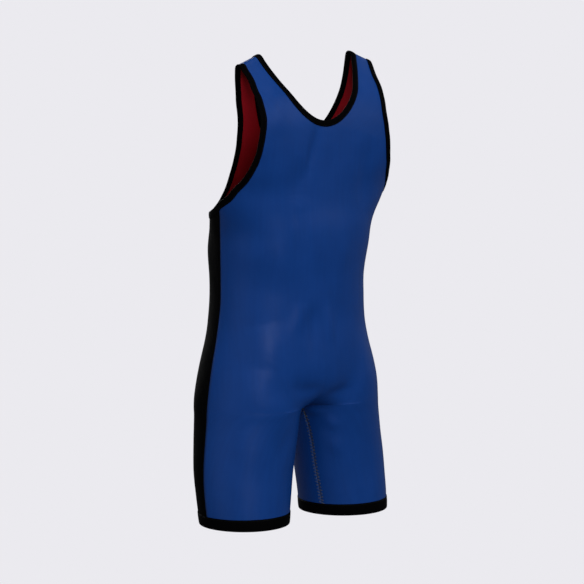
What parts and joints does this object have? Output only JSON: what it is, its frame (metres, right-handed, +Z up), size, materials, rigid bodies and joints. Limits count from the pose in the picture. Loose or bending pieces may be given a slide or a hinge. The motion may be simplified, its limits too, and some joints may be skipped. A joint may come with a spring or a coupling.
{
  "type": "wrestling singlet",
  "caption": "Worn one-piece sports garment with straps, a deep neck, open armholes, black side panels and short legs, hollow and empty.",
  "frame": {"origin": "middle of the shoulder line, level with the neck side of the two straps", "axes": "+Z up, the wearer faces -Y, the wearer's left is +X"},
  "size_m": [0.3886, 0.2258, 0.827],
  "materials": {
    "back_panel": "satin stretch knit",
    "front_panel": "satin stretch knit",
    "left_side_panel": "satin stretch knit",
    "right_side_panel": "satin stretch knit",
    "neck_binding": "matte folded tape",
    "left_armhole_binding": "matte folded tape",
    "right_armhole_binding": "matte folded tape",
    "left_leg_band": "matte folded tape",
    "right_leg_band": "matte folded tape"
  },
  "bodies": {
    "root": {"back_panel": "back_panel", "front_panel": "front_panel", "left_side_panel": "left_side_panel", "right_side_panel": "right_side_panel", "neck_binding": "neck_binding", "left_armhole_binding": "left_armhole_binding", "right_armhole_binding": "right_armhole_binding", "left_leg_band": "left_leg_band", "right_leg_band": "right_leg_band"}
  },
  "joints": []
}
